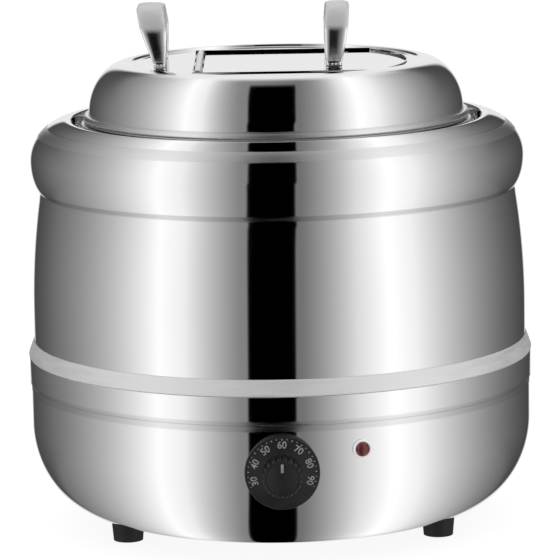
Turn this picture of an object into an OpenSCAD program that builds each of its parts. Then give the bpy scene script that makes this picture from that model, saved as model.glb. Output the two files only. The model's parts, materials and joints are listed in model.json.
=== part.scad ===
// Electric soup kettle: a steel casing with a water well, a lift-out pot and a lid with a hinged flap.
// Millimetres, +Z up, the controls face -Y. The origin is on the table under the casing's axis.

/* [Casing] */
// Outside radius of the bowl-shaped lower shell
casing_r = 172.4; // [171.6:0.2:172.6]
// Gap between the bowl and the table, which the feet fill
foot_h = 12; // [12:0.5:14]
// Radius of the bowl's flat bottom
bowl_flat_r = 123; // [121:0.5:124]
// Height at which the bowl's side is upright
bowl_z = 73; // [72:0.5:75]
// Height of the pressed groove under the belt
groove_z = 100; // [99:0.5:101]
// Height of the top of the belt, where the lower shell ends
belt_z = 119.8; // [119:0.2:121]
// Height of the top of the upper shell's barrel-shaped wall
shell_top_z = 231.6; // [231:0.2:232]
// Sheet thickness of the casing, lid and pot
sheet = 1; // [0.9:0.05:1]

/* [Collar] */
// Largest radius of the collar
collar_r = 169.2; // [169:0.2:169.6]
// Height of that largest radius
collar_mid_z = 254; // [253:0.5:255]
// Height of the collar's crest
collar_top_z = 282; // [281.5:0.25:282.5]

/* [Pot and well] */
// Inside radius of the lift-out pot
pot_r = 122.5; // [121:0.5:122.5]
// Height of the inside of the pot's floor
pot_floor_z = 69; // [68:0.5:72]
// Inside radius of the water well
well_r = 128; // [127.5:0.25:128]
// Height of the inside of the well's floor
well_floor_z = 58; // [57:0.5:59]

/* [Lid] */
// Outside radius of the lid's wall
lid_r = 128.4; // [128:0.2:128.6]
// Height of the raised crest round the lid's top
lid_crest_z = 320.8; // [320.8:0.2:322]
// Reach of the hinged flap's round edge from the lid's axis
flap_reach = 89; // [87:0.5:90]
// Distance of the flap's straight edges from the lid's axis
flap_half = 70; // [69.5:0.5:70]
// Distance of the flap's hinge from the lid's axis
hinge_off = 52; // [50:0.5:58]
// Height of a handle's crown above the lid
handle_h = 40.5; // [38:0.5:42]

/* [Controls] */
// Radius of the control knob's numbered skirt
knob_r = 24.5; // [23.5:0.5:25]
// Height of the knob's axis
knob_z = 70.5; // [70:0.5:71]
// Angle of the indicator lamp round from the knob
lamp_angle = 17.6; // [17:0.2:20]
// Height of the lamp's axis
lamp_z = 83; // [82:0.5:84]

/* [Hidden] */
$fn = 96;

steel = "silver";
satin = "gainsboro";
black = "dimgray";
brass = "goldenrod";
eps = 0.01;
gap = 0.2;          // air gap between parts that only rest on each other

// Casing
bowl_rx = casing_r - bowl_flat_r;
bowl_rz = bowl_z - foot_h;
groove_depth = 0.7;
belt_r = casing_r + 0.9;
shell_r = casing_r - 2.7;      // the upper shell slips into the belt
shell_foot_z = groove_z + 6;
barrel_z = 150;                // the upper shell's wall curves inward above this height
barrel_radius = 516;           // radius of that curve in section
barrel_sweep = asin((shell_top_z - barrel_z) / barrel_radius);
neck_r = shell_r - barrel_radius * (1 - cos(barrel_sweep)) - 0.6;
neck_z = 239;
ring_h = 10.8;

// Collar, from its lower edge over the crest to the ledge that carries the well
collar_rx = 27.2;
collar_rz = collar_top_z - collar_mid_z;
collar_crest_r = collar_r - collar_rx;
tuck_rx = 11.4;
tuck_rz = 23.5;
tuck_end = -61;
lip_roll = 4.6;
lip_r = collar_crest_r - lip_roll;
ledge_z = 273.2;
ledge_r = well_r + sheet * 1.2 + 1;

// Well and pot
well_sheet = 1.2;
well_flange_z = ledge_z + 1;
well_corner = 18;
pot_bead = 2.05;
pot_bead_r = 132.3;
pot_rim_z = well_flange_z + well_sheet + gap + 2 * pot_bead;
pot_corner = 25;

// Heater stack under the well
well_under_z = well_floor_z - well_sheet;
spreader_t = 3;
spreader_z = well_under_z - gap - spreader_t;
spreader_r = 98;
element_r = 62;
element_tube = 3.3;
element_z = spreader_z - gap - element_tube;
clamp_t = 1.2;
clamp_z = element_z - element_tube - gap - clamp_t;
stud_r = 4;

// Lid
bead_r = 3;
bead_mid_r = lid_r + 0.9;
lid_foot_z = pot_rim_z + gap;
dome_z = lid_foot_z + 2 * bead_r + 0.1;
crest_r = 101;
lid_flat_z = lid_crest_z - 1.8;
lip_h = 0.9;                   // raised lip round the flap's opening
seat_z = lid_flat_z - 2.3;     // top of the ledge that the flap rests on
seat_w = 4;
flap_t = 1.2;
flap_top_z = seat_z + gap + flap_t;
flap_end_r = 120;
recess_gap = 0.6;
recess_x = -hinge_off - 3.6;

// Hinge, with its axis along Y
hinge_x = -hinge_off;
hinge_z = lid_flat_z - 0.9;
knuckle_r = 2.5;
pin_r = 1.25;
pin_bore_r = 1.3;
knuckle_len = 25.6;
knuckle_gap = 0.4;
knuckle_n = 5;
leaf_t = 1.2;
leaf_w = 14;
leaf_clear = 0.7;
hinge_len = knuckle_n * knuckle_len;
fixed_leaf_z = lid_flat_z - sheet - 0.02 - leaf_t;
moving_leaf_z = flap_top_z - flap_t - 0.02 - leaf_t;

// Handles
strap_t = 2;
arch_half = 30;
arch_r = 20;
tab_len = 9;
lid_handle_x = -78;
flap_handle_x = 39.8;
rivet_y = arch_half + tab_len * 0.5;

// Controls, measured outward from the casing's axis
wall_out = casing_r;
wall_in = casing_r - sheet;
knob_back = wall_out + 1.1;
knob_front = 195;
skirt_rim = 3.2;
skirt_in_r = 14.5;
grip_r = 13;
shaft_r = 3;
flute_n = 20;
thermo_face = 164.5;
thermo_depth = 26;
thermo_w = 36;
thermo_screw_x = 14;
gland_z = 76;
gland_end = knob_front;        // the gland stands out as far as the knob, so the origin stays central
gland_bore = 4;
gland_grip = 175;               // inside this the passage is wider, so the cord's cores can spread
gland_thread = 8;
lamp_r = 4.7;
lamp_wall = 5.1;

// Feet on a circle, two to the front and one to the rear
foot_circle = 122;
foot_angles = [-60, 60, 180];
foot_bottom_r = 10;
foot_top_r = 11.4;
foot_trim = 4;

// Points along an ellipse's arc from angle a0 to a1
function arc(c, rx, ry, a0, a1, n) = [for (i = [0:n]) let (a = a0 + (a1 - a0) * i / n)
    [c[0] + rx * cos(a), c[1] + ry * sin(a)]];
function backwards(p) = [for (i = [len(p) - 1:-1:0]) p[i]];

// A sheet-metal section between its outer and inner outlines, turned about the axis
module spun(outer, inner) rotate_extrude() polygon(concat(outer, backwards(inner)));
// Cylinder pointing outward, towards -Y, between two distances from the axis
module outward(r, from, to, z = 0, x = 0) translate([x, -from, z]) rotate([90, 0, 0])
    cylinder(h = to - from, r = r);
// Places children at a foot
module at_foot(angle) rotate([0, 0, angle]) translate([0, -foot_circle, 0]) children();
// A round rod along a list of points, with slightly fuller ball corners
module rod(points, r) {
    for (i = [0:len(points) - 2]) {
        d = points[i + 1] - points[i];
        translate(points[i]) rotate([0, acos(d[2] / norm(d)), atan2(d[1], d[0])])
            cylinder(h = norm(d), r = r, $fn = 24);
    }
    for (i = [1:len(points) - 2]) translate(points[i]) sphere(r = r + 0.2, $fn = 24);
}

module bowl_solid() rotate_extrude() polygon(concat([[0, foot_h]],
    arc([bowl_flat_r, bowl_z], bowl_rx, bowl_rz, -90, 0, 16), [[0, bowl_z]]));

module lower_shell() {
    outer = concat([[0, foot_h]],
        arc([bowl_flat_r, bowl_z], bowl_rx, bowl_rz, -90, 0, 16),
        [[casing_r, groove_z - 1.5], [casing_r - groove_depth, groove_z - 0.3],
         [casing_r - groove_depth, groove_z + 0.3], [belt_r, groove_z + 1.6],
         [belt_r, belt_z - 1], [belt_r - 0.4, belt_z], [shell_r + gap, belt_z]]);
    inner = concat([[0, foot_h + sheet]],
        arc([bowl_flat_r, bowl_z], bowl_rx - sheet, bowl_rz - sheet, -90, 0, 16),
        [[wall_in, groove_z - 2], [wall_in - groove_depth, groove_z - 0.6],
         [wall_in - groove_depth, groove_z + 0.6], [belt_r - sheet, groove_z + 2.2],
         [belt_r - sheet, belt_z - sheet], [shell_r + gap, belt_z - sheet]]);
    color(steel) difference() {
        spun(outer, inner);
        outward(5, wall_in - 5, wall_out + 5, knob_z);
        for (x = [-1, 1]) outward(2.2, wall_in - 5, wall_out + 5, knob_z, x * thermo_screw_x);
        rotate([0, 0, lamp_angle]) outward(lamp_wall, wall_in - 5, wall_out + 5, lamp_z);
        rotate([0, 0, 180]) outward(gland_thread + 0.1, wall_in - 5, wall_out + 5, gland_z);
        translate([0, 0, foot_h - 1]) cylinder(h = 3, r = stud_r + 0.3);
        for (a = foot_angles) at_foot(a) translate([0, 0, foot_h - 1]) cylinder(h = 3, r = 2.2);
    }
}

module waist_ring() color(satin) rotate_extrude() polygon([
    [shell_r + 0.15, belt_z + 0.1], [belt_r + 0.1, belt_z + 0.1], [belt_r + 0.4, belt_z + 0.6],
    [belt_r + 0.4, belt_z + 1.6], [shell_r + 0.7, belt_z + ring_h - 0.6],
    [shell_r + 0.4, belt_z + ring_h], [shell_r + 0.15, belt_z + ring_h]]);

module upper_shell() {
    barrel_c = [shell_r - barrel_radius, barrel_z];
    outer = concat([[shell_r, shell_foot_z]],
        arc(barrel_c, barrel_radius, barrel_radius, 0, barrel_sweep, 10),
        [[neck_r, shell_top_z + 1.2], [neck_r, neck_z], [neck_r - sheet, neck_z + sheet],
         [150, neck_z + sheet]]);
    inner = concat([[shell_r - sheet, shell_foot_z]],
        arc(barrel_c, barrel_radius - sheet, barrel_radius - sheet, 0, barrel_sweep, 10),
        [[neck_r - sheet, shell_top_z + 1.2], [neck_r - sheet, neck_z - 0.4],
         [neck_r - 1.4 * sheet, neck_z], [150, neck_z]]);
    color(steel) spun(outer, inner);
}

module collar() {
    outer = concat(
        arc([collar_r - tuck_rx, collar_mid_z], tuck_rx, tuck_rz, tuck_end, 0, 8),
        arc([collar_crest_r, collar_mid_z], collar_rx, collar_rz, 6, 90, 14),
        arc([collar_crest_r, collar_top_z - lip_roll], lip_roll, lip_roll, 105, 180, 5),
        [[lip_r, ledge_z], [ledge_r, ledge_z]]);
    inner = concat(
        arc([collar_r - tuck_rx, collar_mid_z], tuck_rx - sheet, tuck_rz - sheet, tuck_end, 0, 8),
        arc([collar_crest_r, collar_mid_z], collar_rx - sheet, collar_rz - sheet, 6, 90, 14),
        arc([collar_crest_r, collar_top_z - lip_roll], lip_roll - sheet, lip_roll - sheet, 105, 180, 5),
        [[lip_r + sheet, ledge_z - sheet], [ledge_r, ledge_z - sheet]]);
    color(steel) spun(outer, inner);
}

module well_seal() color("white") translate([0, 0, ledge_z]) difference() {
    cylinder(h = 1, r = lip_r - 1);
    translate([0, 0, -1]) cylinder(h = 3, r = ledge_r + 0.3);
}

module water_well() {
    top = well_flange_z + well_sheet;
    outer = concat([[0, well_floor_z - well_sheet]],
        arc([well_r - well_corner, well_floor_z + well_corner], well_corner + well_sheet,
            well_corner + well_sheet, -90, 0, 8),
        [[well_r + well_sheet, well_flange_z], [lip_r - 0.5, well_flange_z]]);
    inner = concat([[0, well_floor_z]],
        arc([well_r - well_corner, well_floor_z + well_corner], well_corner, well_corner, -90, 0, 8),
        [[well_r, top], [lip_r - 0.5, top]]);
    color(steel) spun(outer, inner);
}

module heat_spreader() color("lightgray") difference() {
    translate([0, 0, spreader_z]) cylinder(h = spreader_t, r = spreader_r);
    translate([0, 0, spreader_z - 1]) cylinder(h = spreader_t + 2, r = stud_r + 0.3);
}

module heating_element() {
    ends = [-105, -75];    // the cold legs leave the ring either side of the front
    color("slategray") {
        rotate([0, 0, ends[1]]) rotate_extrude(angle = 330) translate([element_r, 0])
            translate([0, element_z]) circle(r = element_tube, $fn = 32);
        for (a = ends) rotate([0, 0, a]) translate([element_r, 0, 0]) {
            translate([0, 0, element_z]) sphere(r = element_tube, $fn = 32);
            translate([0, 0, 34]) cylinder(h = element_z - 34, r = element_tube, $fn = 32);
            translate([0, 0, 28]) cylinder(h = 6 + eps, r = 1.6, $fn = 24);
        }
    }
}

module heater_clamp() color("lightsteelblue") difference() {
    translate([0, 0, clamp_z]) cylinder(h = clamp_t, r = element_r + 10);
    translate([0, 0, clamp_z - 1]) cylinder(h = clamp_t + 2, r = stud_r + 0.3);
    for (a = [-105, -75]) rotate([0, 0, a]) translate([element_r, 0, clamp_z - 1])
        cylinder(h = clamp_t + 2, r = element_tube + 1);
    rotate([0, 0, 30]) translate([40, 0, clamp_z - 1]) cylinder(h = clamp_t + 2, r = 12);
}

module centre_stud() color("darkgray") translate([0, 0, 3]) cylinder(h = well_under_z - 3, r = stud_r);

// Hexagon nut with its underside at z
module nut(z, h, across, bore) translate([0, 0, z]) difference() {
    cylinder(h = h, r = across / sqrt(3), $fn = 6);
    translate([0, 0, -1]) cylinder(h = h + 2, r = bore);
}
module clamp_nut() color("darkgray") nut(clamp_z - 6.6, 6.5, 13, stud_r + 0.05);
module base_washer() color("darkgray") translate([0, 0, foot_h - 1.5]) difference() {
    cylinder(h = 1.4, r = 9);
    translate([0, 0, -1]) cylinder(h = 4, r = stud_r + 0.3);
}
module base_nut() color("darkgray") nut(foot_h - 7.6, 6, 13, stud_r + 0.05);

module thermostat_body() color("ivory") difference() {
    translate([-thermo_w / 2, -thermo_face, knob_z - thermo_w / 2]) cube([thermo_w, thermo_depth, thermo_w]);
    outward(shaft_r + 0.08, thermo_face - 15, thermo_face + 1, knob_z);
    for (x = [-1, 1]) outward(2.1, thermo_face - 8, thermo_face + 1, knob_z, x * thermo_screw_x);
}
module thermostat_spacers() color(brass) for (x = [-1, 1]) difference() {
    outward(4, thermo_face + 0.05, wall_in - 1.3, knob_z, x * thermo_screw_x);
    outward(2.2, thermo_face - 1, 171, knob_z, x * thermo_screw_x);
}
module thermostat_screws() color("darkgray") for (x = [-1, 1]) {
    outward(2, thermo_face - 7, wall_out, knob_z, x * thermo_screw_x);
    outward(3.6, wall_out - eps, wall_out + 1.3, knob_z, x * thermo_screw_x);
}

bulb_y = -86;
bulb_r = 3;
bulb_z = spreader_z - gap - bulb_r;
module sensor_bulb() color("tan") translate([-32, bulb_y, bulb_z]) rotate([0, 90, 0])
    cylinder(h = 60, r = bulb_r);
module capillary_tube() color("tan") rod([[12, -thermo_face + thermo_depth + 0.1, 62], [16, -126, 54],
    [34, -104, bulb_z], [40, bulb_y, bulb_z], [28.1, bulb_y, bulb_z]], 0.9);
module bulb_clip() color("lightsteelblue") difference() {
    translate([-8, bulb_y - 7, bulb_z - bulb_r - 1.2]) cube([16, 14, 2 * bulb_r + 1.3]);
    translate([-9, bulb_y, bulb_z]) rotate([0, 90, 0]) cylinder(h = 18, r = bulb_r + 0.1);
    translate([-9, bulb_y - bulb_r - 0.1, bulb_z]) cube([18, 2 * bulb_r + 0.2, 10]);
}

module thermal_cutout() color(black) rotate([0, 0, 30]) translate([40, 0, 0]) {
    translate([0, 0, spreader_z - gap - 8]) cylinder(h = 8, r = 8);
    for (y = [-3.5, 3.5]) translate([-1.5, y - 0.4, spreader_z - gap - 17]) cube([3, 0.8, 9 + eps]);
}

module terminal_block() color("whitesmoke") difference() {
    translate([-18, 84, foot_h + sheet + 0.1]) cube([36, 16, 15]);
    for (x = [-12, 0, 12]) translate([x, 83, 21]) rotate([-90, 0, 0]) cylinder(h = 18, r = 2.2);
    for (x = [-12, 0, 12]) translate([x, 92, 24]) cylinder(h = 8, r = 2);
}

// Insulated leads between the terminals, the heater, the thermostat and the lamp
module internal_wiring() color("firebrick") {
    rod([[-12, 83.9, 21], [-12, 40, 20], [-25, -30, 20], [-16, -59.9, 24], [-16.05, -59.9, 27.9]], 1.3);
    rod([[0, 83.9, 21], [4, 30, 18], [10, -50, 18], [8, -120, 30], [-6, -136.6, 60]], 1.3);
    rod([[12, 83.9, 21], [34, 40, 20], [60, -60, 22], [50, -120, 50], [43.4, -136.7, lamp_z - 3]], 1.3);
}

module cord_gland() color(black) rotate([0, 0, 180]) difference() {
    union() {
        outward(gland_thread, 152, wall_out + 0.2, gland_z);
        translate([0, -wall_out - 0.15, gland_z]) rotate([90, 0, 0]) cylinder(h = 6, r = 11.5, $fn = 6);
        outward(10, wall_out + 6, gland_end - 4, gland_z);
        translate([0, -gland_end + 4, gland_z]) rotate([90, 0, 0]) cylinder(h = 4, r1 = 10, r2 = 7.5);
    }
    outward(gland_bore, wall_out, gland_end + 1, gland_z);
    outward(gland_bore + 1.2, 150, gland_grip, gland_z);
}
module gland_locknut() color(black) rotate([0, 0, 180]) difference() {
    translate([0, -wall_in + 5.2, gland_z]) rotate([90, 0, 0]) cylinder(h = 4.6, r = 11.5, $fn = 6);
    outward(gland_thread + 0.05, 150, 175, gland_z);
}

module at_lamp() rotate([0, 0, lamp_angle]) children();
module lamp_bezel() color(steel) at_lamp() difference() {
    outward(6.4, wall_out + 0.1, wall_out + 1.7, lamp_z);
    outward(lamp_r + 0.1, wall_out - 1, wall_out + 3, lamp_z);
}
module lamp_lens() color("darkred") at_lamp() {
    outward(lamp_r, wall_out + 0.1, wall_out + 2.6, lamp_z);
    intersection() {
        translate([0, -wall_out + 1.4, lamp_z]) sphere(r = 6.2);
        outward(lamp_r, wall_out + 2, wall_out + 8, lamp_z);
    }
}
module lamp_body() color(black) at_lamp() {
    outward(4.9, 150, wall_out, lamp_z);
    for (x = [-2, 2]) translate([x - 0.4, -150.1, lamp_z - 1.5]) cube([0.8, 8, 3]);
}
module lamp_nut() color(black) at_lamp() difference() {
    translate([0, -wall_in + 4.2, lamp_z]) rotate([90, 0, 0]) cylinder(h = 3.6, r = 8, $fn = 6);
    outward(4.95, 150, 175, lamp_z);
}

// Rubber foot, shaped to the bowl above it, with a recess for its screw
module foot(angle) color("black") difference() {
    at_foot(angle) difference() {
        cylinder(h = foot_h + foot_trim, r1 = foot_bottom_r, r2 = foot_top_r);
        translate([0, 0, -1]) cylinder(h = foot_h + foot_trim + 2, r = 2.2);
        translate([0, 0, -1]) cylinder(h = 6, r = 4.3);
    }
    bowl_solid();
}
module foot_left() foot(foot_angles[0]);
module foot_right() foot(foot_angles[1]);
module foot_rear() foot(foot_angles[2]);
module foot_screws() color("darkgray") for (a = foot_angles) at_foot(a) {
    translate([0, 0, 2.2]) cylinder(h = 2.7, r = 3.9);
    translate([0, 0, 2.2]) cylinder(h = 16, r = 2);
}
module foot_nuts() color("darkgray") for (a = foot_angles) at_foot(a)
    nut(foot_h + sheet + 0.6, 3.2, 7, 2.05);

// Control knob: a sloped skirt for the numbers, and a fluted grip
module control_knob() color(black) translate([0, -knob_back, knob_z]) rotate([90, 0, 0]) {
    grip_h = knob_front - knob_back;
    difference() {
        union() {
            cylinder(h = skirt_rim, r = knob_r);
            translate([0, 0, skirt_rim]) cylinder(h = 2.6, r1 = knob_r - 1.2, r2 = skirt_in_r);
            difference() {
                cylinder(h = grip_h - 1, r = grip_r);
                for (i = [0:flute_n - 1]) rotate([0, 0, (i + 0.5) * 360 / flute_n])
                    translate([grip_r + 0.5, 0, skirt_rim + 2.6]) cylinder(h = 30, r = 1.2, $fn = 24);
            }
            translate([0, 0, grip_h - 1 - eps]) cylinder(h = 1 + eps, r1 = grip_r - 0.8, r2 = grip_r - 1.8);
        }
        translate([0, 0, -1]) cylinder(h = 2.6, r = knob_r - 2.5);
        translate([0, 0, -1]) cylinder(h = 15, r = shaft_r + 0.05);
        translate([-1, 4, grip_h - 0.6]) cube([2, 7, 2]);
    }
}
module knob_pointer() color("white") translate([0, -knob_front + 0.55, knob_z]) rotate([90, 0, 0])
    translate([-0.9, 4.1, 0]) cube([1.8, 6.8, 0.45]);
module thermostat_shaft() color(brass) outward(shaft_r, thermo_face - 14, knob_back + 13.5, knob_z);

module soup_pot() {
    outer = concat([[0, pot_floor_z - sheet]],
        arc([pot_r - pot_corner, pot_floor_z + pot_corner], pot_corner + sheet, pot_corner + sheet, -90, 0, 10),
        [[pot_r + sheet, pot_rim_z - sheet], [pot_bead_r, pot_rim_z - sheet]]);
    inner = concat([[0, pot_floor_z]],
        arc([pot_r - pot_corner, pot_floor_z + pot_corner], pot_corner, pot_corner, -90, 0, 10),
        [[pot_r, pot_rim_z], [pot_bead_r, pot_rim_z]]);
    color(steel) rotate_extrude() {
        polygon(concat(outer, backwards(inner)));
        translate([pot_bead_r, pot_rim_z - pot_bead]) circle(r = pot_bead, $fn = 32);
    }
}

// The flap's outline, larger all round by out: a D with its round edge opposite the hinge line at x
module flap_outline(out, x) intersection() {
    translate([flap_reach - flap_end_r, 0]) circle(r = flap_end_r + out);
    translate([x, -flap_half - out]) square([200, 2 * (flap_half + out)]);
}

module lid_shell() {
    dome_rx = lid_r - crest_r;
    dome_rz = lid_crest_z - dome_z;
    outer = concat([[lid_r, lid_foot_z + 2], [lid_r, dome_z]],
        arc([crest_r, dome_z], dome_rx, dome_rz, 6, 90, 14),
        [[crest_r - 1.4, lid_crest_z - 0.4], [crest_r - 3, lid_flat_z], [0, lid_flat_z]]);
    inner = concat([[lid_r - sheet, lid_foot_z + 2], [lid_r - sheet, dome_z]],
        arc([crest_r, dome_z], dome_rx - sheet, dome_rz - sheet, 6, 90, 14),
        [[crest_r - 1.4, lid_crest_z - 0.4 - sheet], [crest_r - 3, lid_flat_z - sheet],
         [0, lid_flat_z - sheet]]);
    color(steel) {
        difference() {
            rotate_extrude() {
                polygon(concat(outer, backwards(inner)));
                translate([bead_mid_r, lid_foot_z + bead_r]) circle(r = bead_r, $fn = 32);
            }
            translate([0, 0, lid_flat_z - 5]) linear_extrude(10) flap_outline(recess_gap, recess_x);
        }
        translate([0, 0, seat_z - sheet]) difference() {
            linear_extrude(lid_flat_z + lip_h - seat_z + sheet) flap_outline(recess_gap + sheet, recess_x);
            translate([0, 0, sheet]) linear_extrude(10) flap_outline(recess_gap, recess_x - 1);
            translate([0, 0, -1]) linear_extrude(10) flap_outline(recess_gap - seat_w, recess_x - 1);
        }
    }
}

module lid_flap() color(steel) translate([0, 0, flap_top_z - flap_t]) linear_extrude(flap_t)
    flap_outline(0, hinge_x + knuckle_r + leaf_clear);

// Knuckles of one leaf, every second one from first, with room between them
module knuckles(first) for (i = [first:2:knuckle_n - 1])
    translate([hinge_x, -hinge_len / 2 + i * knuckle_len + knuckle_gap / 2, hinge_z]) rotate([-90, 0, 0])
        cylinder(h = knuckle_len - knuckle_gap, r = knuckle_r, $fn = 48);
// Leaf plate from x0 to x1 beside the axis, notched where the other leaf's knuckles turn
module leaf_plate(x0, x1, z, first) difference() {
    translate([hinge_x + x0, -hinge_len / 2 + knuckle_gap / 2, z])
        cube([x1 - x0, hinge_len - knuckle_gap, leaf_t]);
    for (i = [1 - first:2:knuckle_n - 1])
        translate([hinge_x - knuckle_r - leaf_clear, -hinge_len / 2 + i * knuckle_len - knuckle_gap / 2, z - 5])
            cube([2 * (knuckle_r + leaf_clear), knuckle_len + knuckle_gap, 10]);
}
module pin_bore() translate([hinge_x, -hinge_len, hinge_z]) rotate([-90, 0, 0])
    cylinder(h = 2 * hinge_len, r = pin_bore_r, $fn = 48);
module hinge_leaf_fixed() color(satin) difference() {
    union() {
        knuckles(0);
        leaf_plate(-leaf_w - knuckle_r, 0, fixed_leaf_z, 0);
    }
    pin_bore();
}
module hinge_leaf_moving() color(satin) difference() {
    union() {
        knuckles(1);
        leaf_plate(-1, leaf_w + knuckle_r, moving_leaf_z, 1);
    }
    pin_bore();
}
module hinge_pin() color("darkgray") translate([hinge_x, -hinge_len / 2 - 1, hinge_z]) rotate([-90, 0, 0]) {
    cylinder(h = hinge_len + 2, r = pin_r, $fn = 48);
    for (y = [-0.6, hinge_len + 1.4]) translate([0, 0, y]) cylinder(h = 1.2, r = 2.1, $fn = 48);
}

// Outline of an arch along Y with round shoulders, standing on z = 0
module arch(half, r, h) intersection() {
    union() {
        for (y = [r - half, half - r]) translate([y, h - r]) circle(r = r);
        translate([r - half, 0]) square([2 * (half - r), h]);
        translate([-half, -1]) square([2 * half, h - r + 1]);
    }
    translate([-half, 0]) square([2 * half, h]);
}
// Strap handle bent into an arch. Its outline from the front flares and leans upward.
module strap_handle(lean, foot_half, crown_half) {
    shoulder = 27;
    slope = lean / handle_h;
    reach = arch_half + tab_len;
    intersection() {
        rotate([90, 0, 90]) translate([0, 0, -25]) linear_extrude(50) {
            difference() {
                arch(arch_half, arch_r, handle_h);
                translate([0, -eps]) arch(arch_half - strap_t, arch_r - strap_t, handle_h - strap_t + eps);
            }
            for (y = [-reach, arch_half - strap_t]) translate([y, 0]) square([tab_len + strap_t, strap_t]);
        }
        translate([0, reach + 1, 0]) rotate([90, 0, 0]) linear_extrude(2 * reach + 2)
            polygon([[-foot_half, -1], [foot_half, -1], [foot_half, strap_t],
                [shoulder * slope + crown_half, shoulder],
                [lean + crown_half, handle_h - 5], [lean + crown_half - 1.5, handle_h - 1.5],
                [lean + crown_half - 5, handle_h + 0.5], [lean - crown_half + 5, handle_h + 0.5],
                [lean - crown_half + 1.5, handle_h - 1.5], [lean - crown_half, handle_h - 5],
                [shoulder * slope - crown_half, shoulder], [-foot_half, strap_t]]);
    }
}
module tab_rivets() for (y = [-rivet_y, rivet_y]) translate([0, y, strap_t + 0.04]) cylinder(h = 1, r = 2.4, $fn = 32);
module lid_handle() color(steel) translate([lid_handle_x, 0, lid_flat_z + 0.02]) strap_handle(-6.5, 4, 9);
module flap_handle() color(steel) translate([flap_handle_x, 0, flap_top_z + 0.02]) strap_handle(3, 5.4, 8);
module lid_handle_rivets() color("darkgray") translate([lid_handle_x, 0, lid_flat_z]) tab_rivets();
module flap_handle_rivets() color("darkgray") translate([flap_handle_x, 0, flap_top_z]) tab_rivets();

lower_shell();
waist_ring();
upper_shell();
collar();
well_seal();
water_well();
heat_spreader();
heating_element();
heater_clamp();
centre_stud();
clamp_nut();
base_washer();
base_nut();
thermostat_body();
thermostat_spacers();
thermostat_screws();
capillary_tube();
sensor_bulb();
bulb_clip();
thermal_cutout();
terminal_block();
internal_wiring();
cord_gland();
gland_locknut();
lamp_bezel();
lamp_lens();
lamp_body();
lamp_nut();
foot_left();
foot_right();
foot_rear();
foot_screws();
foot_nuts();
control_knob();
knob_pointer();
thermostat_shaft();
soup_pot();
lid_shell();
lid_handle();
lid_handle_rivets();
hinge_leaf_fixed();
hinge_pin();
lid_flap();
hinge_leaf_moving();
flap_handle();
flap_handle_rivets();
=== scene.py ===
import json
import math

import bpy
from mathutils import Matrix, Vector


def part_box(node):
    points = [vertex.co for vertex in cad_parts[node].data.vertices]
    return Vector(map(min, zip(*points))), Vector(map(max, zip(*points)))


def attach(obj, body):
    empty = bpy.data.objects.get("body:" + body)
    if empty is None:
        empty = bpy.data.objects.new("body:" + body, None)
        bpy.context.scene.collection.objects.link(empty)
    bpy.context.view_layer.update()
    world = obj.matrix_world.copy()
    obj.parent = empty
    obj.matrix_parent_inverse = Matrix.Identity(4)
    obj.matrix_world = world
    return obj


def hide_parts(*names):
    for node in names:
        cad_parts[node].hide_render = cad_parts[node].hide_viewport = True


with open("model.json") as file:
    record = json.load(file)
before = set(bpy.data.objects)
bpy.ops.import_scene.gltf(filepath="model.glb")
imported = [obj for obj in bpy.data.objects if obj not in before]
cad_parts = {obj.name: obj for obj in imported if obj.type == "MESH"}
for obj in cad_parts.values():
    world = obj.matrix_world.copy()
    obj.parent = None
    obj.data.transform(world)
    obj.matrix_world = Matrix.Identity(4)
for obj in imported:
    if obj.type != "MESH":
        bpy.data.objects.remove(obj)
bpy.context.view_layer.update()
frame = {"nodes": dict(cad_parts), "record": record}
MM = 0.001
TAU = 2 * math.pi
TINY = 0.0001  # keeps divisions away from zero
scene = bpy.context.scene


# ---------------------------------------------------------------- node helpers
class Graph:
    """Short names for building a node tree."""

    def __init__(self, tree):
        self.tree = tree
        tree.nodes.clear()

    def node(self, kind, **props):
        n = self.tree.nodes.new(kind)
        for k, v in props.items():
            setattr(n, k, v)
        return n

    def put(self, socket, value):
        if isinstance(value, bpy.types.NodeSocket):
            self.tree.links.new(value, socket)
        else:
            socket.default_value = value

    def math(self, op, *args):
        n = self.node("ShaderNodeMath", operation=op)
        for s, v in zip(n.inputs, args):
            self.put(s, v)
        return n.outputs[0]

    def step(self, value, lo, hi, to0=0.0, to1=1.0, kind="SMOOTHSTEP"):
        n = self.node("ShaderNodeMapRange", interpolation_type=kind)
        n.clamp = True
        for s, v in zip(n.inputs, (value, lo, hi, to0, to1)):
            self.put(s, v)
        return n.outputs[0]

    def ramp(self, value, stops):
        n = self.node("ShaderNodeValToRGB")
        r = n.color_ramp
        r.interpolation = "LINEAR"
        while len(r.elements) < len(stops):
            r.elements.new(0.5)
        for e, (p, c) in zip(r.elements, stops):
            e.position = p
            e.color = (*c, 1) if hasattr(c, "__len__") else (c, c, c, 1)
        self.put(n.inputs[0], value)
        return n.outputs[0]

    def blend(self, t, a, b):
        n = self.node("ShaderNodeMix", data_type="FLOAT")
        for i, v in zip((0, 2, 3), (t, a, b)):
            self.put(n.inputs[i], v)
        return n.outputs[0]

    def noise(self, scale, detail, stretch=(1, 1, 1)):
        tc = self.node("ShaderNodeTexCoord")
        mp = self.node("ShaderNodeMapping")
        mp.inputs["Scale"].default_value = stretch
        self.put(mp.inputs[0], tc.outputs["Object"])
        n = self.node("ShaderNodeTexNoise")
        self.put(n.inputs["Vector"], mp.outputs[0])
        n.inputs["Scale"].default_value = scale
        n.inputs["Detail"].default_value = detail
        n.inputs["Roughness"].default_value = 0.5
        return n.outputs["Fac"]


def split_xyz(g, vector):
    """The three parts of a vector socket."""
    n = g.node("ShaderNodeSeparateXYZ")
    g.put(n.inputs[0], vector)
    return tuple(n.outputs)


def length(g, a, b):
    """Length of the flat vector (a, b)."""
    return g.math("SQRT", g.math("ADD", g.math("MULTIPLY", a, a), g.math("MULTIPLY", b, b)))


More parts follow.
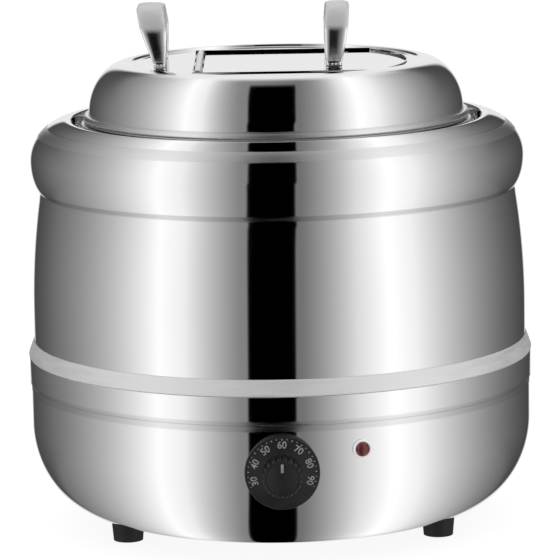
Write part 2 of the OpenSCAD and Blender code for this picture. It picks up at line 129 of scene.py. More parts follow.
def height_bands(g, bands, colour, roughness):
    """Colour and roughness with bands drawn between two heights. A band is (z0, z1, soft, shade, rough):
    heights and edge width in mm, then the darkening and the roughness, either of which may be None."""
    height = split_xyz(g, g.node("ShaderNodeTexCoord").outputs["Object"])[2]
    for z0, z1, soft, shade, band_rough in bands:
        lo, hi, soft = z0 * MM, z1 * MM, soft * MM / 2
        above = g.step(height, lo - soft, lo + soft)
        below = g.step(height, hi - soft, hi + soft, 1.0, 0.0)
        mask = g.math("MULTIPLY", above, below)
        if shade is not None:
            colour = g.math("MULTIPLY", colour, g.blend(mask, 1.0, shade))
        if band_rough is not None:
            roughness = g.blend(mask, roughness, band_rough)
    return colour, roughness


def evened_normal(g, even, steep):
    """The normal of a turned piece, flatter about its middle line where its ring is smaller than the radius
    even, in metres. The dark gap's reflection then keeps one width, and leans against the camera's roll.
    Above the height steep, in mm, the metal is shaded as a steep bead."""
    middle, edge = 0.2, 0.45
    least_ratio = 0.5
    lean_per_metre, lean_at_floor = -0.066, 0.0046
    bead_soft, bead_nz = 0.25 * MM, 0.15
    nx, ny, nz = split_xyz(g, g.node("ShaderNodeNewGeometry").outputs["Normal"])
    x, y, z = split_xyz(g, g.node("ShaderNodeTexCoord").outputs["Object"])
    level = length(g, nx, ny)
    ratio = g.math("MINIMUM", g.math("DIVIDE", length(g, x, y), even), 1.0)
    ratio = g.math("MAXIMUM", ratio, least_ratio)
    turn = g.math("DIVIDE", g.math("ABSOLUTE", nx), g.math("MAXIMUM", level, TINY))
    pull = g.blend(g.step(turn, middle, edge), ratio, 1.0)
    lean = g.math("MULTIPLY", g.math("MULTIPLY_ADD", z, lean_per_metre, lean_at_floor), level)
    lean = g.math("MULTIPLY", lean, g.step(turn, middle, edge, 1.0, 0.0))
    if steep:
        nz = g.math("MULTIPLY", nz, g.step(z, steep * MM - bead_soft, steep * MM + bead_soft, 1.0, bead_nz))
    merge = g.node("ShaderNodeCombineXYZ")
    for socket, value in zip(merge.inputs, (g.math("MULTIPLY_ADD", nx, pull, lean), ny, nz)):
        g.put(socket, value)
    unit = g.node("ShaderNodeVectorMath", operation="NORMALIZE")
    g.put(unit.inputs[0], merge.outputs[0])
    return unit.outputs[0]


def material(
    name,
    light,
    dark,
    rough,
    metallic=0.0,
    scale=60,
    stretch=(1, 1, 1),
    bump=0.0,
    bump_scale=400,
    bands=(),
    even=0.0,
    steep=None,
    **sockets,
):
    """A principled material whose colour and roughness vary with a noise. The bands are drawn by
    height_bands, and even and steep are taken by evened_normal."""
    m = bpy.data.materials.new(name)
    m.use_nodes = True
    g = Graph(m.node_tree)
    out = g.node("ShaderNodeOutputMaterial")
    p = g.node("ShaderNodeBsdfPrincipled")
    g.put(out.inputs[0], p.outputs[0])
    n = g.noise(scale, 4, stretch)
    colour = g.ramp(n, [(0.3, dark), (0.7, light)])
    roughness = g.step(n, 0.3, 0.7, rough[0], rough[1], "LINEAR")
    if bands:
        colour, roughness = height_bands(g, bands, colour, roughness)
    g.put(p.inputs["Base Color"], colour)
    g.put(p.inputs["Roughness"], roughness)
    p.inputs["Metallic"].default_value = metallic
    for k, v in sockets.items():
        p.inputs[k.replace("_", " ")].default_value = v
    if even:
        g.put(p.inputs["Normal"], evened_normal(g, even, steep))
    if bump:
        b = g.node("ShaderNodeBump")
        b.inputs["Strength"].default_value = bump
        b.inputs["Distance"].default_value = 0.2 * MM
        g.put(b.inputs["Height"], g.noise(bump_scale, 3, stretch))
        g.put(p.inputs["Normal"], b.outputs[0])
    m.diffuse_color = (*light, 1)
    return m


def grey(v):
    return (v, v, v)


MATS = {
    "mirror_steel": material("mirror_steel", grey(0.93), grey(0.91), (0.035, 0.055), 1.0, 9),
    "satin_band": material("satin_band", grey(0.95), grey(0.90), (0.50, 0.60), 0.84, 40, (1, 1, 12)),
    "pot_steel": material(
        "pot_steel", grey(0.80), grey(0.74), (0.24, 0.34), 1.0, 30, (1, 1, 14), 0.05, 300
    ),
    "lamp_trim": material("lamp_trim", grey(0.92), grey(0.86), (0.5, 0.6), 0.35, 60),
    "hinge_steel": material("hinge_steel", grey(0.80), grey(0.70), (0.20, 0.30), 1.0, 80),
    "zinc_fastener": material(
        "zinc_fastener", (0.66, 0.67, 0.69), (0.50, 0.51, 0.53), (0.30, 0.42), 1.0, 120
    ),
    "heater_aluminium": material("heater_aluminium", grey(0.80), grey(0.70), (0.32, 0.44), 1.0, 60),
    "element_sheath": material(
        "element_sheath", (0.30, 0.28, 0.26), (0.20, 0.18, 0.17), (0.45, 0.6), 0.9, 90
    ),
    "brass": material("brass", (0.80, 0.62, 0.30), (0.66, 0.48, 0.20), (0.22, 0.34), 1.0, 80),
    "copper_tube": material("copper_tube", (0.78, 0.45, 0.30), (0.62, 0.32, 0.20), (0.25, 0.38), 1.0, 80),
    "silicone_seal": material("silicone_seal", grey(0.80), grey(0.72), (0.5, 0.6), 0.0, 80),
    "thermostat_plastic": material(
        "thermostat_plastic", (0.78, 0.74, 0.65), (0.70, 0.66, 0.57), (0.45, 0.55), 0.0, 80
    ),
    "black_plastic": material(
        "black_plastic",
        grey(0.012),
        grey(0.007),
        (0.42, 0.52),
        0.0,
        120,
        bump=0.10,
        bump_scale=1500,
        Specular_IOR_Level=0.35,
    ),
    "pointer_white": material("pointer_white", grey(0.22), grey(0.15), (0.5, 0.6), 0.0, 300),
    "lamp_red": material(
        "lamp_red",
        (0.13, 0.008, 0.010),
        (0.08, 0.004, 0.005),
        (0.22, 0.30),
        0.0,
        160,
        Coat_Weight=0.4,
        Coat_Roughness=0.12,
    ),
    "wire_silicone": material("wire_silicone", (0.42, 0.06, 0.04), (0.34, 0.04, 0.03), (0.5, 0.6), 0.0, 90),
    "foot_rubber": material(
        "foot_rubber", grey(0.009), grey(0.005), (0.6, 0.75), 0.0, 200, bump=0.15, bump_scale=1200
    ),
}

# polished pieces with rougher bands and darker bands drawn by height; where noted below, the darkening is
# painted shade
polished = dict(light=grey(0.93), dark=grey(0.91), rough=(0.035, 0.055), metallic=1.0, scale=9, even=0.1724)
# bowl: the groove is brushed rougher and darkened with painted shade, and painted shade darkens the bowl's
# lowest curve
BOWL_PAINTED_SHADE = material(
    "bowl_steel_painted_shade", bands=[(96.5, 103.5, 1.6, 0.84, 0.16), (5, 16.8, 4, 0.56, None)], **polished
)
# barrel: the darker, rougher band just under the collar is painted shade
BARREL_PAINTED_SHADE = material("barrel_steel_painted_shade", bands=[(232.4, 240, 0.8, 0.8, 0.12)], **polished)
# collar: the crest band is a rougher satin finish, slightly darker; the tucked lower edge is darkened with
# painted shade
COLLAR_PAINTED_SHADE = material(
    "collar_steel_painted_shade",
    bands=[(271.0, 277.4, 1.2, 0.96, 0.28), (230, 236.2, 0.8, 0.72, 0.12)],
    steep=277.4,
    **polished,
)
LID = material("lid_steel", bands=[(270, 286.5, 1.0, 0.92, 0.28)], **polished)
STRAP = material(
    "strap_steel", grey(0.97), grey(0.93), (0.13, 0.17), 1.0, 60, bands=[(344, 365, 6, None, 0.65)]
)

slots = {s["node"]: s["material_slot"] for s in frame["record"]["subparts"]}
for node_name, obj in frame["nodes"].items():
    obj.data.materials.clear()
    obj.data.materials.append(MATS[slots[node_name]])


# ---------------------------------------------------------------- mesh helpers
def finish_mesh(name, verts, faces, slot_name, body, replaced=(), sharp=35.0, mat=None):
    """A smooth-shaded object from vertices and faces, riding on a body."""
    me = bpy.data.meshes.new(name)
    me.from_pydata(verts, [], faces)
    me.validate()
    me.update()
    ob = bpy.data.objects.new(name, me)
    scene.collection.objects.link(ob)
    me.materials.append(mat or MATS[slot_name])
    me.shade_smooth()
    me.set_sharp_from_angle(angle=math.radians(sharp))
    if replaced:
        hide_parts(*replaced)
    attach(ob, body)


def ellipse(c, rx, rz, a0, a1, n):
    """Points along an ellipse from angle a0 to a1, in degrees."""
    out = []
    for i in range(n + 1):
        a = math.radians(a0 + (a1 - a0) * i / n)
        out.append((c[0] + rx * math.cos(a), c[1] + rz * math.sin(a)))
    return out


def fillet(points, n=5):
    """Rounds each corner given as (x, z, radius)."""
    out = []
    for i, p in enumerate(points):
        if len(p) == 2 or i in (0, len(points) - 1):
            out.append(p[:2])
            continue
        b, a, c = Vector(p[:2]), Vector(points[i - 1][:2]), Vector(points[i + 1][:2])
        u, w = (a - b).normalized(), (c - b).normalized()
        half = math.acos(max(-1, min(1, u.dot(w)))) / 2
        cut = min(p[2] / math.tan(half), (a - b).length * 0.49, (c - b).length * 0.49)
        radius = cut * math.tan(half)
        centre = b + (u + w).normalized() * (radius / math.sin(half))
        s, e = b + u * cut - centre, b + w * cut - centre
        turn = math.atan2(s.x * e.y - s.y * e.x, s.dot(e))
        for k in range(n + 1):
            t = turn * k / n
            cos_t, sin_t = math.cos(t), math.sin(t)
            out.append((centre.x + s.x * cos_t - s.y * sin_t, centre.y + s.x * sin_t + s.y * cos_t))
    return out


def shifted(path, t):
    """The path moved by t to its left, with mitred corners."""
    out = []
    for i, p in enumerate(path):
        a = Vector(path[max(i - 1, 0)])
        b = Vector(p)
        c = Vector(path[min(i + 1, len(path) - 1)])
        d0 = (b - a).normalized() if (b - a).length > 1e-9 else (c - b).normalized()
        d1 = (c - b).normalized() if (c - b).length > 1e-9 else d0
        n0, n1 = Vector((-d0.y, d0.x)), Vector((-d1.y, d1.x))
        m = (n0 + n1).normalized()
        k = t / max(m.dot(n0), 0.5)
        out.append((max(b.x + m.x * k, 0.0), b.y + m.y * k))
    return out


def sheet_ring(path, t):
    """Closed section of a sheet of thickness t to the left of a path."""
    return list(path) + list(reversed(shifted(path, t)))


def lathe(profile, segments=224, radius_of=None):
    """Vertices and faces of a closed (r, z) profile turned about Z. Angle 0 is +X. With radius_of, the
    radius also depends on the point's number in the profile and on the angle."""
    verts, faces, rings = [], [], []
    for j, (r, z) in enumerate(profile):
        if r < 1e-7:
            rings.append([len(verts)] * segments)
            verts.append((0, 0, z))
            continue
        ring = []
        for i in range(segments):
            a = TAU * i / segments
            q = radius_of(j, r, a) if radius_of else r
            ring.append(len(verts))
            verts.append((q * math.cos(a), q * math.sin(a), z))
        rings.append(ring)
    m = len(profile)
    for j in range(m):
        p, q = rings[j], rings[(j + 1) % m]
        for i in range(segments):
            k = (i + 1) % segments
            f = [p[i], p[k], q[k], q[i]]
            f = [v for n, v in enumerate(f) if v not in f[:n]]
            if len(f) > 2:
                faces.append(f)
    return verts, faces


def moved(part, matrix):
    """A part, given as vertices and faces, put through a matrix."""
    return [tuple(matrix @ Vector(v)) for v in part[0]], part[1]


def joined(*parts):
    """Several parts as one."""
    verts, faces = [], []
    for v, f in parts:
        k = len(verts)
        verts += v
        faces += [[i + k for i in x] for x in f]
    return verts, faces


# ---------------------------------------------------------------- casing
def span(node):
    """Largest radius, lowest and highest point of a turned node."""
    lo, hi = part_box(node)
    return hi.x, lo.z, hi.z


SHEET = 1.0 * MM
belt_r, bowl_z0, belt_z1 = span("lower_shell")
casing_r = belt_r - 0.9 * MM
bowl_rx, bowl_rz = casing_r - 123 * MM, 61 * MM
groove_z = belt_z1 - 19.8 * MM
path = fillet(
    [(0, bowl_z0)]
    + ellipse((casing_r - bowl_rx, bowl_z0 + bowl_rz), bowl_rx, bowl_rz, -90, 0, 40)
    + [
        (casing_r, groove_z - 1.7 * MM, 1.2 * MM),
        (casing_r - 0.7 * MM, groove_z, 0.5 * MM),
        (belt_r, groove_z + 1.7 * MM, 1.5 * MM),
        (belt_r, belt_z1, 0.9 * MM),
        (casing_r - 1.5 * MM, belt_z1),
    ]
)
v, f = lathe(sheet_ring(path, SHEET))
finish_mesh("bowl_shell", v, f, "mirror_steel", "kettle_body", ["lower_shell"], mat=BOWL_PAINTED_SHADE)

ring_r, ring_z0, ring_z1 = span("waist_ring")
shell_r, shell_z0, shell_z1 = span("upper_shell")
v, f = lathe(
    fillet(
        [
            (shell_r + 0.2 * MM, ring_z0),
            (ring_r - 0.3 * MM, ring_z0, 0.3 * MM),
            (ring_r, ring_z0 + 1.1 * MM, 1.2 * MM),
            (shell_r + 0.6 * MM, ring_z1 - 0.2 * MM, 1.0 * MM),
            (shell_r + 0.2 * MM, ring_z1),
        ]
    )
)
finish_mesh("waist_band", v, f, "satin_band", "kettle_body", ["waist_ring"])

barrel = 516 * MM
barrel_z = shell_z0 + 44 * MM
neck_step = shell_z1 - 8.4 * MM
top_angle = math.degrees(math.asin((neck_step - barrel_z) / barrel))
wall = ellipse((shell_r - barrel, barrel_z), barrel, barrel, 0, top_angle, 28)
neck_r = wall[-1][0] - 0.6 * MM
path = fillet(
    [(shell_r, shell_z0), (shell_r, shell_z0 + 30 * MM)]
    + wall
    + [(neck_r, neck_step + 1.2 * MM), (neck_r, shell_z1, 1.2 * MM), (neck_r - 11 * MM, shell_z1)]
)
v, f = lathe(sheet_ring(path, SHEET))
finish_mesh("barrel_shell", v, f, "mirror_steel", "kettle_body", ["upper_shell"], mat=BARREL_PAINTED_SHADE)

collar_r, _, collar_z1 = span("collar")
tuck_rx, tuck_rz = 11.4 * MM, 23.5 * MM
crest_rx, crest_rz = 27.2 * MM, 28 * MM
inner_roll = 4.6 * MM
mid_z = collar_z1 - crest_rz
crest_c = collar_r - crest_rx
tuck = ellipse((collar_r - tuck_rx, mid_z), tuck_rx, tuck_rz, -61, 0, 16)
over = ellipse((crest_c, mid_z), crest_rx, crest_rz, 3, 90, 36)
roll = ellipse((crest_c, collar_z1 - inner_roll), inner_roll, inner_roll, 98, 180, 10)
lip_r = crest_c - inner_roll
ledge_z = collar_z1 - 8.8 * MM
path = fillet(tuck + over + roll + [(lip_r, ledge_z, 0.8 * MM), (lip_r - 7 * MM, ledge_z)])
v, f = lathe(sheet_ring(path, SHEET))
finish_mesh("rolled_collar", v, f, "mirror_steel", "kettle_body", ["collar"], mat=COLLAR_PAINTED_SHADE)

well_r, well_z0, well_z1 = span("water_well")
well_wall = well_r - 7.7 * MM
well_corner = 19.2 * MM
well_sheet = 1.2 * MM
path = fillet(
    [(0, well_z0)]
    + ellipse((well_wall - well_corner, well_z0 + well_corner), well_corner, well_corner, -90, 0, 12)
    + [(well_wall, well_z1 - well_sheet, 0.4 * MM), (well_r, well_z1 - well_sheet)]
)
v, f = lathe(sheet_ring(path, well_sheet))
finish_mesh("well_liner", v, f, "pot_steel", "kettle_body", ["water_well"])

pot_r, pot_z0, pot_z1 = span("soup_pot")
bead = 2.05 * MM
pot_wall = pot_r - 10.85 * MM
pot_corner = 26 * MM
path = fillet(
    [(0, pot_z0)]
    + ellipse((pot_wall - pot_corner, pot_z0 + pot_corner), pot_corner, pot_corner, -90, 0, 14)
    + [(pot_wall, pot_z1 - SHEET, 0.6 * MM), (pot_r - bead, pot_z1 - SHEET)]
)
pot_part = lathe(sheet_ring(path, SHEET))
bead_part = lathe(ellipse((pot_r - bead, pot_z1 - bead), bead, bead, 0, 345, 23))
finish_mesh("pot_liner", *joined(pot_part, bead_part), "pot_steel", "pot", ["soup_pot"])

# ---------------------------------------------------------------- lid
lid_out, lid_z0, lid_z1 = span("lid_shell")
rim = 3.0 * MM
rim_c = lid_out - rim
lid_r = rim_c - 0.9 * MM
dome_z = lid_z0 + 2 * rim + 0.1 * MM
crest_r = lid_r - 27.4 * MM
flat_r = crest_r - 3 * MM
flat_z = lid_z1 - 1.8 * MM
lip_z = flat_z + 0.9 * MM
flap_lo, flap_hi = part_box("lid_flap")
pin_lo, pin_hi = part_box("hinge_pin")
hinge_x = (pin_lo.x + pin_hi.x) / 2
chord_x = hinge_x - 3.6 * MM
seat_z = flap_lo.z - 0.2 * MM


def flap_outline(out, x0, closed=True):
    """Outline of the flap, larger all round by out: a D from its hinge side at x0, counter-clockwise."""
    end_r = 120 * MM
    h, r = flap_hi.y + out, end_r + out
    centre = flap_hi.x - end_r
    a1 = math.asin(h / r)
    corner = centre + r * math.cos(a1)
    pts = [(x0 + (corner - x0) * i / 24, -h) for i in range(24)]
    for i in range(97):
        a = a1 * (i / 48 - 1)
        pts.append((centre + r * math.cos(a), r * math.sin(a)))
    pts += [(corner + (x0 - corner) * (i + 1) / 24, h) for i in range(24)]
    if closed:
        pts += [(x0, h - 2 * h * (i + 1) / 32) for i in range(31)]
    return pts


def bridge(faces, rows, n, closed=True):
    """Quads between successive rows of n points."""
    for j in range(rows - 1):
        for i in range(n if closed else n - 1):
            k = (i + 1) % n
            faces.append([j * n + i, j * n + k, (j + 1) * n + k, (j + 1) * n + i])


path = fillet(
    [(lid_r, lid_z0 + 2 * MM), (lid_r, dome_z + 1.5 * MM)]
    + ellipse((crest_r, dome_z), lid_r - crest_r, lid_z1 - dome_z, 4, 90, 40)
    + [(crest_r - 1.4 * MM, lid_z1 - 0.3 * MM, 1.0 * MM), (flat_r, flat_z, 1.2 * MM), (flat_r - MM, flat_z)]
)
dome_part = lathe(sheet_ring(path, SHEET))
rim_part = lathe(ellipse((rim_c, lid_z0 + rim), rim, rim, 0, 345, 23))
# the flat top round the opening
opening_gap = 0.6 * MM
lip_out = 1.6 * MM
ledge_in = -3.4 * MM
hole = flap_outline(opening_gap, chord_x)
outer = []
for x, y in hole:
    d = math.hypot(x, y)
    outer.append((x / d * (flat_r - MM), y / d * (flat_r - MM)))
n = len(hole)
plate_v = []
under_z = flat_z - SHEET
for ring, z in ((outer, flat_z), (hole, flat_z), (hole, under_z), (outer, under_z), (outer, flat_z)):
    plate_v += [(x, y, z) for x, y in ring]
plate_f = []
bridge(plate_f, 5, n)
# the lip round the opening and the ledge that the flap rests on
section = fillet(
    [
        (lip_out, seat_z - SHEET),
        (lip_out, lip_z, 0.35 * MM),
        (opening_gap, lip_z, 0.35 * MM),
        (opening_gap, seat_z, 0.4 * MM),
        (ledge_in, seat_z),
        (ledge_in, seat_z - SHEET),
        (lip_out, seat_z - SHEET),
    ]
)
lip_v, lip_f = [], []
for out, z in section:
    ring = flap_outline(out, chord_x, False)
    lip_v += [(x, y, z) for x, y in ring]
n = len(ring)
bridge(lip_f, len(section), n, False)
lip_f.append([j * n for j in range(len(section) - 1)])
lip_f.append([j * n + n - 1 for j in reversed(range(len(section) - 1))])
lid_parts = joined(dome_part, rim_part, (plate_v, plate_f), (lip_v, lip_f))
finish_mesh("lid_dome", *lid_parts, "mirror_steel", "lid", ["lid_shell"], mat=LID)

# the flap: a D-shaped plate with a softened edge, as (inset, height) in mm
levels = [(0.5, 0.0), (0.15, 0.0), (0.0, 0.15), (0.0, 0.9), (0.07, 1.1), (0.25, 1.2), (0.6, 1.2)]
verts, faces = [], []
for inset, height in levels:
    ring = flap_outline(-inset * MM, flap_lo.x + inset * MM)
    verts += [(x, y, flap_lo.z + height * MM) for x, y in ring]
n = len(ring)
bridge(faces, len(levels), n)
faces.append(list(range(n - 1, -1, -1)))
faces.append([(len(levels) - 1) * n + i for i in range(n)])
finish_mesh("flap_plate", verts, faces, "mirror_steel", "flap", ["lid_flap"], 50)


def strap(name, node, rivets, rivet_node, body, foot_half):
    """A strap handle: a rounded section swept along an arch, wider at the crown and leaning as its node."""
    lo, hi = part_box(node)
    height, reach = hi.z - lo.z, hi.y
    t = 2 * MM
    foot_bend, crown_bend = 2.4 * MM, 19 * MM
    half_y = 30 * MM - t / 2
    top = height - t / 2
    # centre line from one tab's end, up the leg and over to the crown's middle
    line = fillet(
        [
            (-reach, t / 2),
            (-half_y, t / 2, foot_bend),
            (-half_y, 12 * MM),
            (-half_y, top, crown_bend),
            (0, top),
        ],
        14,
    )
    line = line[:1] + [((line[0][0] + line[1][0]) / 2, t / 2)] + line[1:]
    right = [(-y, z) for y, z in reversed(line[:-1])]
    line = line + right
    is_left = lo.x < 0 and hi.x < 0
    flare_h = 25 * MM
    crown_half = (9 if is_left else 8) * MM
    lean = (-6.5 if is_left else 3) * MM
    rivet_lo, rivet_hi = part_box(rivet_node)
    foot_x = (rivet_lo.x + rivet_hi.x) / 2
    # the section is a squared-off oval, one unit to each side
    section = []
    section_points = 24
    across_power, through_power = 0.55, 0.8
    for k in range(section_points):
        a = TAU * k / section_points
        c, s = math.cos(a), math.sin(a)
        across = math.copysign(abs(c) ** across_power, c)
        through = math.copysign(abs(s) ** through_power, s)
        section.append((across, through))
    verts, faces = [], []
    for i, (y, z) in enumerate(line):
        a, b = Vector(line[max(i - 1, 0)]), Vector(line[min(i + 1, len(line) - 1)])
        d = (b - a).normalized()
        up = Vector((-d.y, d.x))
        q = max(0.0, min(1.0, (z - t) / flare_h))
        w = foot_half + (crown_half - foot_half) * (q * (1.25 - 0.25 * q))
        x = foot_x + lean * min(1.0, max(0.0, z - t) / (height - t))
        is_end = i in (0, len(line) - 1)
        on_leg = z > 6 * MM
        for sx, sz in section:
            camber = 0.5 * MM * sx * sx if sz > 0 and on_leg else 0
            rise = (t / 2) * sz * (1.0 if on_leg else 0.98) - camber
            across = sx * w * (0.8 if is_end else 1)
            verts.append((x + across, y + up.x * rise, lo.z + z + up.y * rise))
    m, c = len(line), len(section)
    for i in range(m - 1):
        for k in range(c):
            l = (k + 1) % c
            faces.append([i * c + k, i * c + l, (i + 1) * c + l, (i + 1) * c + k])
    faces.append(list(range(c - 1, -1, -1)))
    faces.append([(m - 1) * c + k for k in range(c)])
    finish_mesh(name, verts, faces, "mirror_steel", body, [node], 60, STRAP)
    # domed rivet heads on the tabs
    rv = (rivet_hi.x - rivet_lo.x) / 2
    head = lathe([(0, 0), (rv, 0)] + ellipse((0, 0), rv, rivet_hi.z - rivet_lo.z, 8, 90, 8), 40)
    parts = [
        moved(head, Matrix.Translation((foot_x, y, rivet_lo.z))) for y in (rivet_lo.y + rv, rivet_hi.y - rv)
    ]
    finish_mesh(rivets, *joined(*parts), "hinge_steel", body, [rivet_node], 50)


strap("lid_strap", "lid_handle", "lid_strap_rivets", "lid_handle_rivets", "lid", 4 * MM)
strap("flap_strap", "flap_handle", "flap_strap_rivets", "flap_handle_rivets", "flap", 5.4 * MM)

for node_name in ("hinge_leaf_fixed", "hinge_leaf_moving", "hinge_pin"):
    mod = frame["nodes"][node_name].modifiers.new("soft_edges", "BEVEL")
    mod.width = 0.15 * MM
    mod.segments = 2
    mod.limit_method = "ANGLE"

# ---------------------------------------------------------------- knob
knob_lo, knob_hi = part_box("control_knob")
knob_r = (knob_hi.x - knob_lo.x) / 2
knob_z = (knob_lo.z + knob_hi.z) / 2
knob_len = knob_hi.y - knob_lo.y
back_r = knob_r - 2.5 * MM
to_front = Matrix.Translation((0, knob_hi.y, knob_z)) @ Matrix.Rotation(math.pi / 2, 4, "X")
grip_r = 13 * MM
# the sloped face of the skirt, which carries the numbers
dial_in, dial_high = 14.6 * MM, 5.8 * MM
dial_out, dial_low = knob_r - 1.4 * MM, 3.4 * MM
skirt = fillet(
    [
        (0, 0.9 * MM),
        (back_r, 0.9 * MM),
        (back_r, 0, 0.4 * MM),
        (knob_r, 0, 0.7 * MM),
        (knob_r, 3.2 * MM, 1.0 * MM),
        (dial_out, dial_low, 0.5 * MM),
        (dial_in, dial_high, 0.8 * MM),
    ]
)
skirt_n = len(skirt)
grip = [
    (grip_r + 0.1 * MM, 6.4 * MM),
    (grip_r, 8.0 * MM),
    (grip_r, 12 * MM),
    (grip_r - 0.1 * MM, 16 * MM),
    (grip_r - 0.2 * MM, knob_len - 1.6 * MM),
    (grip_r - 0.5 * MM, knob_len - 0.8 * MM),
    (grip_r - 1.1 * MM, knob_len - 0.25 * MM),
    (grip_r - 1.9 * MM, knob_len),
    (grip_r - 3.2 * MM, knob_len),
    (grip_r - 3.8 * MM, knob_len - 0.5 * MM),
    (0, knob_len - 0.5 * MM),
]
profile = skirt + grip


def fluted(j, r, a):
    """The grip's radius at angle a, with 20 flutes."""
    if j < skirt_n + 1 or j > skirt_n + 6:
        return r
    return r - 1.1 * MM * max(0.0, math.cos(20 * a)) ** 2.2


v, f = lathe(profile, 480, radius_of=fluted)
finish_mesh("dial_knob", *moved((v, f), to_front), "black_plastic", "knob", ["control_knob"], 40)

slope = (dial_high - dial_low) / (dial_in - dial_out)


def on_dial(r, a):
    """A point just above the skirt's sloped face."""
    return (r * math.cos(a), r * math.sin(a), dial_high + slope * (r - dial_in) + 0.08 * MM)


# numbers and ticks lie on the sloped face, the middle number on top
labels = ["30", "40", "50", "60", "70", "80", "90"]
label_step = 35
label_r = 18.6 * MM
tick_count = 27
tick_step = label_step / 4
tick_r = 22.7 * MM
tick_half = 0.28 * MM
parts = []
for i, word in enumerate(labels):
    angle = math.radians(90 + label_step * ((len(labels) - 1) / 2 - i))
    curve = bpy.data.curves.new("dial_text", "FONT")
    curve.body = word
    curve.size = 6.2 * MM
    curve.align_x = "CENTER"
    curve.align_y = "CENTER"
    curve.resolution_u = 3
    curve.offset = 0.10 * MM
    ob = bpy.data.objects.new("dial_text", curve)
    scene.collection.objects.link(ob)
    bpy.context.view_layer.update()
    me = bpy.data.meshes.new_from_object(ob)
    verts = []
    for q in me.vertices:
        verts.append(on_dial(label_r + q.co.y, angle - q.co.x / label_r))
    parts.append((verts, [list(p.vertices) for p in me.polygons]))
    bpy.data.objects.remove(ob)
    bpy.data.curves.remove(curve)
    bpy.data.meshes.remove(me)
for i in range(tick_count):
    a = math.radians(90 + tick_step * ((tick_count - 1) / 2 - i))
    tick_len = 1.2 * MM if i % 2 else 0.7 * MM
    verts = []
    for r in (tick_r - tick_len, tick_r):
        for s in (-1, 1):
            verts.append(on_dial(r, a + s * tick_half / r))
    parts.append((verts, [[0, 1, 3, 2]]))
finish_mesh("dial_numbers", *moved(joined(*parts), to_front), "pointer_white", "knob", (), 20)

# ---------------------------------------------------------------- lamp
lens_lo, lens_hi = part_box("lamp_lens")
lamp_z = (lens_lo.z + lens_hi.z) / 2
lamp_dir = math.atan2((lens_lo.x + lens_hi.x) / 2, -(lens_lo.y + lens_hi.y) / 2)
at_lamp = Matrix.Translation((0, -casing_r, lamp_z)) @ Matrix.Rotation(math.pi / 2, 4, "X")
at_lamp = Matrix.Rotation(lamp_dir, 4, "Z") @ at_lamp
trim_in, trim_out = 4.8 * MM, 6.4 * MM
lamp_gap = 0.1 * MM
v, f = lathe(
    fillet(
        [
            (trim_in, lamp_gap),
            (trim_out, lamp_gap),
            (trim_out, 1.0 * MM, 0.5 * MM),
            (5.6 * MM, 1.7 * MM, 0.5 * MM),
            (trim_in, 1.5 * MM),
        ]
    ),
    96,
)
finish_mesh("lamp_ring", *moved((v, f), at_lamp), "lamp_trim", "kettle_body", ["lamp_bezel"])
lens_r = 4.7 * MM
lens_h = 4.7 * MM
wall_h = 1.9 * MM
lens = [(0, lamp_gap), (lens_r, lamp_gap), (lens_r, wall_h)]
v, f = lathe(lens + ellipse((0, wall_h), lens_r, lens_h - wall_h, 6, 90, 12), 96)
finish_mesh("lamp_dome", *moved((v, f), at_lamp), "lamp_red", "kettle_body", ["lamp_lens"])

# ---------------------------------------------------------------- studio
floor_me = bpy.data.meshes.new("studio_floor")
far = 8
corners = [(-far, -far, 0), (far, -far, 0), (far, far, 0), (-far, far, 0)]
floor_me.from_pydata(corners, [], [[0, 1, 2, 3]])
floor = bpy.data.objects.new("studio_floor", floor_me)
scene.collection.objects.link(floor)
fm = bpy.data.materials.new("studio_paper")
fm.use_nodes = True
g = Graph(fm.node_tree)
out = g.node("ShaderNodeOutputMaterial")
add = g.node("ShaderNodeAddShader")
dif = g.node("ShaderNodeBsdfDiffuse")
emi = g.node("ShaderNodeEmission")
paper = g.noise(3, 2)
g.put(dif.inputs["Color"], g.ramp(paper, [(0.3, 0.115), (0.7, 0.125)]))
g.put(emi.inputs["Color"], g.ramp(paper, [(0.3, 0.99), (0.7, 1.0)]))
emi.inputs["Strength"].default_value = 0.91
g.put(add.inputs[0], dif.outputs[0])
g.put(add.inputs[1], emi.outputs[0])
g.put(out.inputs[0], add.outputs[0])
floor_me.materials.append(fm)
floor.visible_glossy = False
floor.visible_diffuse = False

# The surroundings are drawn for polished metal: a dark gap in front, a softbox either side, dark flags
# beyond them, a light ceiling and a light card behind.
tilt = math.radians(9.48)
world = bpy.data.worlds.new("studio")
scene.world = world
world.use_nodes = True
g = Graph(world.node_tree)
out = g.node("ShaderNodeOutputWorld")
back = g.node("ShaderNodeBackground")
x, y, z = split_xyz(g, g.node("ShaderNodeTexCoord").outputs["Generated"])
# half way between the reflected direction and the camera lies the surface's own direction
hy = g.math("SUBTRACT", y, math.cos(tilt))
hz = g.math("ADD", z, math.sin(tilt))
flat = g.math("MAXIMUM", length(g, x, hy), TINY)
full = length(g, flat, hz)
nz = g.math("DIVIDE", hz, full)
side = g.math("DIVIDE", x, flat)
# greys met from the left side of a turned piece to its right
GREYS = [
    (0.0, 0.26),
    (0.02, 0.32),
    (0.05, 0.42),
    (0.16, 0.70),
    (0.26, 0.985),
    (0.31, 0.92),
    (0.42, 0.50),
    (0.54, 0.43),
    (0.65, 0.84),
    (0.72, 1.0),
    (0.77, 0.93),
    (0.87, 0.64),
    (0.955, 0.38),
    (1.0, 0.25),
]
front = g.ramp(g.math("MULTIPLY_ADD", side, 0.5, 0.5), GREYS)
# the dark gap keeps its width where the metal turns up or down
across = g.math("MULTIPLY", side, g.step(nz, -0.95, -0.1, 0.93, 1.0))
wide, wider = g.step(nz, 0.12, 0.2), g.step(nz, 0.5, 0.8)


def edge_at(base, a, b):
    """Where an edge of the gap lies. It moves by a, then by b as well, on metal that turns up."""
    return g.math("MULTIPLY_ADD", wider, b, g.math("MULTIPLY_ADD", wide, a, base))


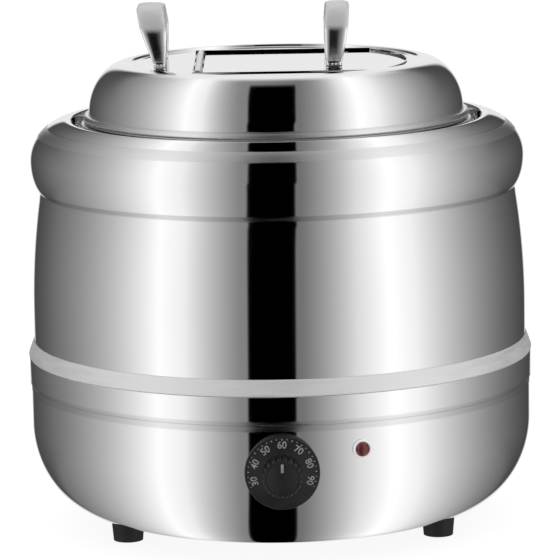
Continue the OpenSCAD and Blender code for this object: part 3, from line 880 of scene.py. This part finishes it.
gap_left, gap_right, gap_soft = -0.129, 0.055, 0.006
from_left = g.math("SUBTRACT", across, edge_at(gap_left, 0.004, 0.003))
from_right = g.math("SUBTRACT", across, edge_at(gap_right, 0.006, 0.003))
past_left = g.step(from_left, -gap_soft, gap_soft)
before_right = g.step(from_right, -gap_soft, gap_soft, 1.0, 0.0)
gap = g.math("MULTIPLY", past_left, before_right)
gap = g.math("MULTIPLY", gap, g.step(nz, 0.73, 0.84, 1.0, 0.0))
front = g.math("MULTIPLY", front, g.math("SUBTRACT", 1.0, gap))
front = g.blend(g.step(nz, 0.86, 0.96), front, 0.90)
# behind the object the same greys follow the compass direction alone
ground = g.math("MAXIMUM", length(g, x, y), TINY)
along = g.math("DIVIDE", y, ground)
half_turn = g.math("SQRT", g.math("MULTIPLY_ADD", along, 0.5, 0.5))
rear = g.ramp(g.math("MULTIPLY_ADD", g.math("MULTIPLY", g.math("SIGN", x), half_turn), 0.5, 0.5), GREYS)
rear = g.blend(g.step(along, 0.955, 0.985), rear, 0.88)
# the front pattern gives way to the rear one beyond this measure
low = g.math("MAXIMUM", g.math("SUBTRACT", g.math("MULTIPLY", z, -1.0), 0.2), 0.0)
q = g.math("SUBTRACT", g.math("SUBTRACT", y, g.math("MAXIMUM", z, 0.0)), g.math("MULTIPLY", low, 2.5))
shade = g.blend(g.step(q, 0.1, 0.5), front, rear)
display_gamma, brightness = 2.2, 1.12
light = g.math("POWER", shade, display_gamma)
light = g.math("MULTIPLY", light, brightness)
lp = g.node("ShaderNodeLightPath")
level = g.blend(lp.outputs["Is Diffuse Ray"], light, 1.1)
level = g.blend(lp.outputs["Is Camera Ray"], level, 1.0)
g.put(back.inputs["Color"], level)
g.put(out.inputs[0], back.outputs[0])

key = bpy.data.lights.new("overhead_softbox", "AREA")
key.shape = "RECTANGLE"
key.size, key.size_y = 2.4, 2.4
key.energy = 30
key_ob = bpy.data.objects.new("overhead_softbox", key)
scene.collection.objects.link(key_ob)
key_ob.location = (0, -0.4, 2.6)
key_ob.visible_glossy = False
key_ob.visible_camera = False

# ---------------------------------------------------------------- camera
cam = bpy.data.cameras.new("camera")
cam.lens = 227.4
cam.sensor_width = 36
picture = 560
cam.shift_x = 1.2 / picture
cam.shift_y = -10 / picture
cam.clip_end = 50
cam_ob = bpy.data.objects.new("camera", cam)
scene.collection.objects.link(cam_ob)
aim = Vector((0, 0, 0.1741))
distance = 2.444
cam_ob.location = aim + Vector((0, -math.cos(tilt), math.sin(tilt))) * distance
camera_roll = Matrix.Rotation(math.radians(-1.0), 3, "Z")
look = (aim - cam_ob.location).to_track_quat("-Z", "Y").to_matrix() @ camera_roll
cam_ob.rotation_euler = look.to_euler()
scene.camera = cam_ob
scene.view_settings.view_transform = "Standard"

bpy.context.view_layer.update()
